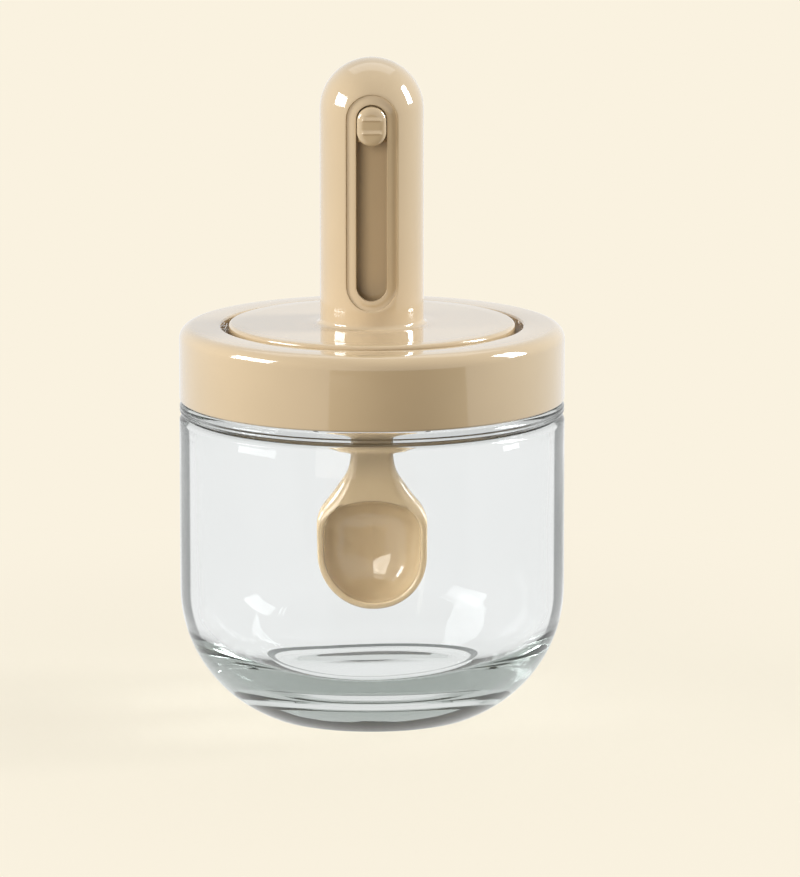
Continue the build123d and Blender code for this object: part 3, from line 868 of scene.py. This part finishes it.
def spoon_outline():
    """Half the spoon's outline from the top of the shank to the tip, and half the hollow's outline.

    The outline's points from the plain one on pair with the hollow's, from the hollow's top to its tip.
    """
    bowl = spoon_high.x
    centre = spoon_low.z + bowl
    rise = NECK_TOP - BOWL_SIDE_TOP
    turn = 2 * math.atan((bowl - SHANK_HALF) / rise)
    neck_curve = rise / math.sin(turn) - BOWL_SHOULDER
    turn = math.degrees(turn)
    neck_centre = (SHANK_HALF + neck_curve, NECK_TOP)
    paired_from = 180 + turn * NECK_PLAIN_SHARE
    outline = [(SHANK_HALF, spoon_high.z)] + upright(SHANK_HALF, spoon_high.z, NECK_TOP, 12)
    outline += arc(neck_centre, neck_curve, 180, paired_from, 8)[1:]
    plain = len(outline) - 1
    outline += arc(neck_centre, neck_curve, paired_from, 180 + turn, 7)[1:]
    outline += arc((bowl - BOWL_SHOULDER, BOWL_SIDE_TOP), BOWL_SHOULDER, turn, 0, 8)[1:]
    outline += upright(bowl, BOWL_SIDE_TOP, centre, 5)
    outline += arc((0, centre), bowl, 0, -90, 24)[1:]
    half = bowl - RIM_WIDTH
    crown_rise = HOLLOW_TOP - HOLLOW_SIDE_TOP
    crown = (half**2 + crown_rise**2) / (2 * crown_rise)
    crown_centre = HOLLOW_TOP - crown
    corner_across = half - HOLLOW_CORNER
    corner_up = crown_centre + math.sqrt((crown - HOLLOW_CORNER) ** 2 - corner_across**2)
    lean = math.degrees(math.asin(corner_across / (crown - HOLLOW_CORNER)))
    hollow = arc((0, crown_centre), crown, 90, 90 - lean, 7)
    hollow += arc((corner_across, corner_up), HOLLOW_CORNER, 90 - lean, 0, 8)[1:]
    hollow += upright(half, corner_up, centre, 5)
    hollow += arc((0, centre), half, 0, -90, 24)[1:]
    return outline, hollow, plain


def spoon_back(distance, height):
    """How deep the spoon's back lies behind its front, at a distance from the outline."""
    share = smooth(BOWL_SIDE_TOP, NECK_TOP, height)
    depth = between(BOWL_DEPTH, SHANK_DEPTH, share)
    rounding = between(BOWL_BACK_ROUNDING, SHANK_ROUNDING, share)
    left = rounding - min(distance, rounding)
    return depth - rounding + math.sqrt(rounding**2 - left**2)


def hollow_floor(share):
    """How deep the hollow lies behind the front, at a share of the way from its edge to its middle."""
    return between(HOLLOW_WALL, HOLLOW_DEPTH, math.sqrt(1 - (1 - share) ** 2))


def behind_front(points):
    """Turns (across, height, depth) into places, with the depth behind the spoon's front."""
    return [(across, spoon_low.y + depth, height) for across, height, depth in points]


def rounded_edge(edge, inward, rounding, shares):
    """Points (across, height, depth) over a rounded edge, from the front to the side."""
    points = []
    for share in shares:
        angle = share * math.pi / 2
        place = edge + inward * rounding * (1 - math.sin(angle))
        points.append((*place, rounding * (1 - math.cos(angle))))
    return points


def spoon_column(edge, inward, front_end, back_end):
    """Points from the front's middle over the edge and the back to the back's middle."""
    edge, front_end, back_end = Vector(edge), Vector(front_end), Vector(back_end)
    on_shoulder = smooth(BOWL_SIDE_TOP - MM, HOLLOW_TOP, edge.y)
    on_shank = smooth(HOLLOW_TOP + MM, NECK_TOP, edge.y)
    rounding = between(between(SPOON_EDGE, SPOON_SHOULDER_EDGE, on_shoulder), SHANK_ROUNDING, on_shank)
    corner = edge + inward * rounding
    points = [(*front_end.lerp(corner, share), 0) for share in (0, 0.25, 0.5, 0.75, 1)]
    points += rounded_edge(edge, inward, rounding, (0.15, 0.3, 0.45, 0.6, 0.75, 0.9, 1))
    side_end = max(rounding, spoon_back(0, edge.y))
    points += [(*edge, between(rounding, side_end, share)) for share in (0.5, 1)]
    width = (back_end - edge).length
    for share in steps_between(0, 1, 16):
        distance = share**BACK_CROWDING
        place = edge.lerp(back_end, distance)
        points.append((*place, spoon_back(distance * width, place.y)))
    return behind_front(points)


def hollow_column(edge, inward, middle):
    """Points from the hollow's edge down its wall to the middle of its floor."""
    edge, middle = Vector(edge), Vector(middle)
    points = rounded_edge(edge, -inward, HOLLOW_EDGE, (0, 0.33, 0.67, 1))
    points += [(*edge, between(HOLLOW_EDGE, hollow_floor(0), share)) for share in (0.5, 1)]
    for share in steps_between(0, 1, 18):
        distance = share**HOLLOW_CROWDING
        points.append((*edge.lerp(middle, distance), hollow_floor(distance)))
    return behind_front(points)


def inward_normals(points):
    """At each point, the unit direction square to the line and towards the spoon's middle."""
    normals = []
    last = len(points) - 1
    for index in range(last):
        along = Vector(points[index + 1]) - Vector(points[max(0, index - 1)])
        normals.append(Vector((along.y, -along.x)).normalized())
    return normals + [Vector((0, 1))]


def make_spoon():
    """The spoon: half of it is built from its outline inwards, then mirrored."""
    outline, hollow, plain = spoon_outline()
    normals = inward_normals(outline)
    hollow_normals = inward_normals(hollow)
    hollow_normals[0] = Vector((0, -1))
    middle_low = spoon_low.z + BOWL_MIDDLE_SHARE * spoon_high.x
    middle_high = HOLLOW_TOP - HOLLOW_MIDDLE_BELOW_TOP
    columns = []
    wells = []
    for index, edge in enumerate(outline):
        if index < plain:
            front_end, back_end = (0, max(edge[1], HOLLOW_TOP + HOLLOW_EDGE)), (0, edge[1])
        else:
            paired = index - plain
            share = paired / (len(outline) - 1 - plain)
            inward = hollow_normals[paired]
            front_end = Vector(hollow[paired]) - inward * HOLLOW_EDGE
            back_end = (0, between(outline[plain][1], middle_low, share))
            well = (0, between(middle_high, middle_low, share))
            wells.append(hollow_column(hollow[paired], inward, well))
        columns.append(spoon_column(edge, normals[index], front_end, back_end))
    vertices, faces = [], []
    add_grid(vertices, faces, columns)
    add_grid(vertices, faces, wells)
    # The shank's flat top end closes the first column against the middle
    end = columns[0]
    add_grid(vertices, faces, [[(0, depth, height) for _, depth, height in end], end])
    new_piece(
        "spoon_moulding", vertices, faces, glossy_beige_plastic, "spoon_slide", "spoon",
        mirrored=True,
    )


def ridge_heights():
    """The heights of the button's two ridges."""
    centre = (button_low.z + button_high.z) / 2
    return centre + RIDGE_SPACING / 2, centre - RIDGE_SPACING / 2


def button_front(across, height, edge_distance):
    """How far back the button's crowned front lies from its foremost point, between its two ridges."""
    left = 1 - min(1, max(0, edge_distance / BUTTON_EDGE))
    depth = BUTTON_EDGE_DEPTH * (1 - math.sqrt(1 - left**2))
    width = 1 - smooth(RIDGE_HALF_WIDTH - RIDGE_FADE, RIDGE_HALF_WIDTH + RIDGE_FADE, abs(across))
    ridge = 0
    for ridge_height in ridge_heights():
        above = height - ridge_height
        side = RIDGE_UPPER_SIDE if above > 0 else RIDGE_LOWER_SIDE
        ridge = max(ridge, 1 - smooth(0, side, abs(above)))
    return depth + RIDGE_HEIGHT * (1 - ridge * width)


def button_rows(low_centre, high_centre, half_width):
    """The heights at which the button's front has a row of points, from the top down."""
    ends = [half_width * math.sin(math.radians(5 * step)) for step in range(19)]
    heights = [high_centre + rise for rise in ends] + [low_centre - rise for rise in ends[1:]]
    heights += steps_between(high_centre, low_centre, 24)
    for ridge_height in ridge_heights():
        heights += [ridge_height + RIDGE_UPPER_SIDE * share for share in (0, 0.25, 0.5, 0.75, 1)]
        heights += [ridge_height - RIDGE_LOWER_SIDE * share for share in (0.25, 0.5, 0.75, 1)]
    return sorted(set(heights), reverse=True)


def make_button():
    """The oval thumb button, with two ridges that the thumb grips."""
    half_width = button_high.x
    centre = (button_low.z + button_high.z) / 2
    half_straight = (button_high.z - button_low.z) / 2 - half_width
    low_centre, high_centre = centre - half_straight, centre + half_straight
    columns = [math.sin(math.radians(90 * (step - 20) / 20)) for step in range(41)]
    front = []
    for height in button_rows(low_centre, high_centre, half_width):
        beyond = height - min(high_centre, max(low_centre, height))
        width = math.sqrt(max(0, half_width**2 - beyond**2))
        row = []
        for across in [share * width for share in columns]:
            depth = button_front(across, height, half_width - math.hypot(across, beyond))
            row.append((across, button_low.y + depth, height))
        front.append(row)
    vertices, faces = [], []
    add_grid(vertices, faces, front)
    back = [[(across, BUTTON_BACK, height) for across, _, height in row] for row in front]
    add_grid(vertices, faces, back)
    for side in (0, -1):
        add_grid(vertices, faces, [
            [(across, between(depth, BUTTON_BACK, share), height) for share in (0, 0.5, 1)]
            for across, depth, height in [row[side] for row in front]
        ])
    new_piece(
        "thumb_button", vertices, faces, glossy_beige_plastic, "spoon_slide", "slide_button",
        sharp_angle=50,
    )


HIDDEN_FINISHES = {
    "collar_gasket": cloudy_silicone,
    "lid_seal": cloudy_silicone,
    "shank_wiper": cloudy_silicone,
    "lid_plug": satin_beige_plastic,
    "carriage": satin_beige_plastic,
    "detent_spring": rolled_spring_steel,
}


def finish_hidden_nodes():
    """Gives each CAD node that stays shown its finish."""
    for name, finish in HIDDEN_FINISHES.items():
        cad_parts[name].material_slots[0].material = made_once(finish)


def seen_backdrop(tree, stage):
    """The backdrop's colour, a little whiter in reflections and through glass."""
    return mixed(tree, ray(tree, "Is Camera Ray"), (*stage.through_glass, 1), (*stage.backdrop, 1))


def seen_rays(tree):
    """1 for what the camera sees directly, in a reflection or through glass, and 0 for light."""
    kinds = ("Is Camera Ray", "Is Glossy Ray", "Is Transmission Ray")
    seen = combined(tree, "MAXIMUM", *(ray(tree, kind) for kind in kinds))
    # Light that runs round inside the glass still comes from the bright backdrop
    scattered = combined(tree, "SUBTRACT", ray(tree, "Diffuse Depth"), ray(tree, "Glossy Depth"))
    return combined(tree, "MULTIPLY", seen, combined(tree, "LESS_THAN", scattered, 0.5))


def pale_floor(tree, shader, place):
    """Pale floor that takes a soft shadow near the jar and fades into the plain backdrop."""
    stage = bpy.context.scene.seasoning_stage
    pale = tuple(stage.backdrop)
    tone = two_tones(tree, noise(tree, place, 6), shade(pale, 0.74), shade(pale, 0.76))
    fill(tree, shader, {
        "Base Color": mixed(tree, seen_rays(tree), (*shade(pale, stage.floor_tone), 1), tone),
        "Roughness": 0.9,
        "Specular IOR Level": 0.0,
    })
    glow = add_node(tree, "Emission", {"Color": seen_backdrop(tree, stage), "Strength": 1.0})
    reach = add_node(tree, "VectorMath", {0: place}, "Value", operation="LENGTH")
    far = smooth_range(tree, reach, *FLOOR_FADE, at_start=stage.plain_share)
    indirect = combined(tree, "SUBTRACT", 1.0, ray(tree, "Is Camera Ray"))
    plain = combined(tree, "MAXIMUM", far, indirect)
    show(tree, combined(tree, "MULTIPLY", plain, seen_rays(tree)), shader.outputs[0], glow)


def add_sheet(mesh, finish, height):
    """Adds a level sheet to the stage, with the name of its mesh."""
    mesh.materials.append(made_once(finish))
    sheet = bpy.data.objects.new(mesh.name, mesh)
    sheet.location.z = height
    bpy.context.scene.collection.objects.link(sheet)
    return sheet


def make_floor():
    """A wide round floor just under the jar's foot."""
    mesh = bpy.data.meshes.new("floor")
    shape = bmesh.new()
    bmesh.ops.create_circle(shape, cap_ends=True, segments=96, radius=FLOOR_RADIUS)
    shape.to_mesh(mesh)
    shape.free()
    add_sheet(mesh, pale_floor, -FLOOR_GAP)


def dark_mat(tree, shader, place):
    """A matt dark grey that only reflections show."""
    tone = two_tones(tree, noise(tree, place, 8), (0.1, 0.1, 0.1), (0.14, 0.14, 0.14))
    fill(tree, shader, {"Base Color": tone, "Roughness": 0.9})
    clear = add_node(tree, "BsdfTransparent", {})
    show(tree, ray(tree, "Glossy Depth"), clear, shader.outputs[0])


def make_mat():
    """A dark mat in front of the jar that dims what the jar reflects there."""
    corners = []
    for reach in MAT_REACH:
        for angle in MAT_ANGLES:
            side = math.radians(angle)
            corners.append((reach * math.sin(side), -reach * math.cos(side), 0))
    count = len(MAT_ANGLES)
    mesh = bpy.data.meshes.new("dark_mat")
    mesh.from_pydata(corners, [], [
        (index, index + 1, count + index + 1, count + index) for index in range(count - 1)
    ])
    mat = add_sheet(mesh, dark_mat, FLOOR_GAP)
    for kind in ("camera", "diffuse", "volume_scatter", "shadow"):
        setattr(mat, "visible_" + kind, False)


def make_world(stage):
    """Even light from all round, with the plain backdrop for what is seen."""
    world = bpy.data.worlds.new("studio")
    bpy.context.scene.world = world
    world.use_nodes = True
    tree = world.node_tree
    light = tree.nodes["Background"]
    fill(tree, light, {"Color": (*stage.backdrop, 1), "Strength": stage.ambient})
    backdrop = add_node(tree, "Background", {"Color": seen_backdrop(tree, stage)})
    show(tree, seen_rays(tree), light.outputs[0], backdrop)


def put(holder, target, away, distance):
    """Puts a lamp or camera at a distance from its target and points it there."""
    holder.location = Vector(target) + away * distance
    holder.rotation_euler = away.to_track_quat("Z", "Y").to_euler()
    bpy.context.scene.collection.objects.link(holder)


def add_softbox(name, azimuth, elevation, size, brightness, tint, glossy=True):
    """A rectangular lamp that points at the jar's middle and isn't seen by the camera.

    The azimuth is 0 in front and 90 to the right. The brightness is that of a white surface that
    faces the lamp.
    """
    side, rise = math.radians(azimuth), math.radians(elevation)
    away = Vector((math.sin(side) * math.cos(rise), -math.cos(side) * math.cos(rise), math.sin(rise)))
    lamp = bpy.data.lights.new(name, "AREA")
    lamp.shape = "RECTANGLE"
    lamp.size, lamp.size_y = size
    lamp.energy = brightness * math.pi**2 * LAMP_DISTANCE**2
    lamp.color = tint
    holder = bpy.data.objects.new(name, lamp)
    holder.visible_camera = False
    holder.visible_glossy = glossy
    put(holder, (0, 0, LAMP_TARGET), away, LAMP_DISTANCE)


def make_lamps():
    """A tall window on each side, a broad lamp above the back, and a weak fill from the front."""
    daylight = (0.94, 0.975, 1.0)
    warm = (1.0, 0.94, 0.85)
    add_softbox("left_window", -77, 21, (0.4, 0.28), 0.84, daylight)
    add_softbox("right_window", 97, 25, (0.2, 0.4), 1.2, daylight)
    add_softbox("overhead", 180, 65, (0.8, 0.4), 0.12, daylight)
    add_softbox("front_fill", -22, 12, (0.36, 0.5), 0.48, warm, glossy=False)


def make_camera(stage):
    """A long lens looking slightly down at the front."""
    camera = bpy.data.cameras.new("camera")
    camera.sensor_width = 36
    camera.lens = PIXELS_PER_METRE * stage.distance / FRAME_PIXELS * camera.sensor_width
    camera.clip_start = 0.1
    camera.clip_end = 20
    holder = bpy.data.objects.new("camera", camera)
    away = Vector((0, -math.cos(stage.elevation), math.sin(stage.elevation)))
    put(holder, (AIM_ACROSS, 0, AIM_HEIGHT), away, stage.distance)
    bpy.context.scene.camera = holder


class SEASONING_OT_jar(bpy.types.Operator):
    """Make the glass jar"""

    bl_idname = "seasoning.jar"
    bl_label = "Glass Jar"

    def execute(self, context):
        make_jar()
        return {"FINISHED"}


class SEASONING_OT_collar(bpy.types.Operator):
    """Make the screw collar"""

    bl_idname = "seasoning.collar"
    bl_label = "Screw Collar"

    def execute(self, context):
        make_collar()
        return {"FINISHED"}


class SEASONING_OT_lid(bpy.types.Operator):
    """Make the lid's disc and handle"""

    bl_idname = "seasoning.lid"
    bl_label = "Lid and Handle"

    def execute(self, context):
        make_lid()
        return {"FINISHED"}


class SEASONING_OT_spoon(bpy.types.Operator):
    """Make the spoon"""

    bl_idname = "seasoning.spoon"
    bl_label = "Spoon"

    def execute(self, context):
        make_spoon()
        return {"FINISHED"}


class SEASONING_OT_button(bpy.types.Operator):
    """Make the thumb button"""

    bl_idname = "seasoning.button"
    bl_label = "Thumb Button"

    def execute(self, context):
        make_button()
        return {"FINISHED"}


class SEASONING_OT_hidden(bpy.types.Operator):
    """Finish the seals, the plug, the carriage and the spring"""

    bl_idname = "seasoning.hidden"
    bl_label = "Inner Pieces"

    def execute(self, context):
        finish_hidden_nodes()
        return {"FINISHED"}


class SEASONING_OT_stage(bpy.types.Operator):
    """Make the floor, the lamps and the camera"""

    bl_idname = "seasoning.stage"
    bl_label = "Stage"

    def execute(self, context):
        stage = context.scene.seasoning_stage
        make_floor()
        make_mat()
        make_world(stage)
        make_lamps()
        make_camera(stage)
        context.scene.view_settings.view_transform = "Standard"
        # Light goes round the thick base of the glass many times before it comes out
        context.scene.cycles.max_bounces = GLASS_BOUNCES
        context.scene.cycles.transmission_bounces = GLASS_BOUNCES
        context.scene.cycles.glossy_bounces = GLASS_BOUNCES
        return {"FINISHED"}


SETTINGS = {
    "seasoning_glass": GlassSettings,
    "seasoning_plastic": PlasticSettings,
    "seasoning_stage": StageSettings,
}

OPERATORS = (
    SEASONING_OT_jar,
    SEASONING_OT_collar,
    SEASONING_OT_lid,
    SEASONING_OT_spoon,
    SEASONING_OT_button,
    SEASONING_OT_hidden,
    SEASONING_OT_stage,
)


class SEASONING_PT_panel(bpy.types.Panel):
    """Sidebar panel with the jar's pieces and settings"""

    bl_label = "Seasoning Jar"
    bl_idname = "SEASONING_PT_panel"
    bl_space_type = "VIEW_3D"
    bl_region_type = "UI"
    bl_category = "Seasoning Jar"

    def draw(self, context):
        for group, kind in SETTINGS.items():
            box = self.layout.box()
            box.label(text=kind.__doc__)
            for setting in kind.__annotations__:
                box.prop(getattr(context.scene, group), setting)
        for operator in OPERATORS:
            self.layout.operator(operator.bl_idname)


CLASSES = (*SETTINGS.values(), *OPERATORS, SEASONING_PT_panel)


def register():
    for each in CLASSES:
        bpy.utils.register_class(each)
    for group, kind in SETTINGS.items():
        setattr(bpy.types.Scene, group, bpy.props.PointerProperty(type=kind))


def unregister():
    for group in SETTINGS:
        delattr(bpy.types.Scene, group)
    for each in reversed(CLASSES):
        bpy.utils.unregister_class(each)


def main():
    """Makes every piece and the stage."""
    register()
    bpy.ops.seasoning.jar()
    bpy.ops.seasoning.collar()
    bpy.ops.seasoning.lid()
    bpy.ops.seasoning.spoon()
    bpy.ops.seasoning.button()
    bpy.ops.seasoning.hidden()
    bpy.ops.seasoning.stage()


if __name__ == "__main__":
    main()
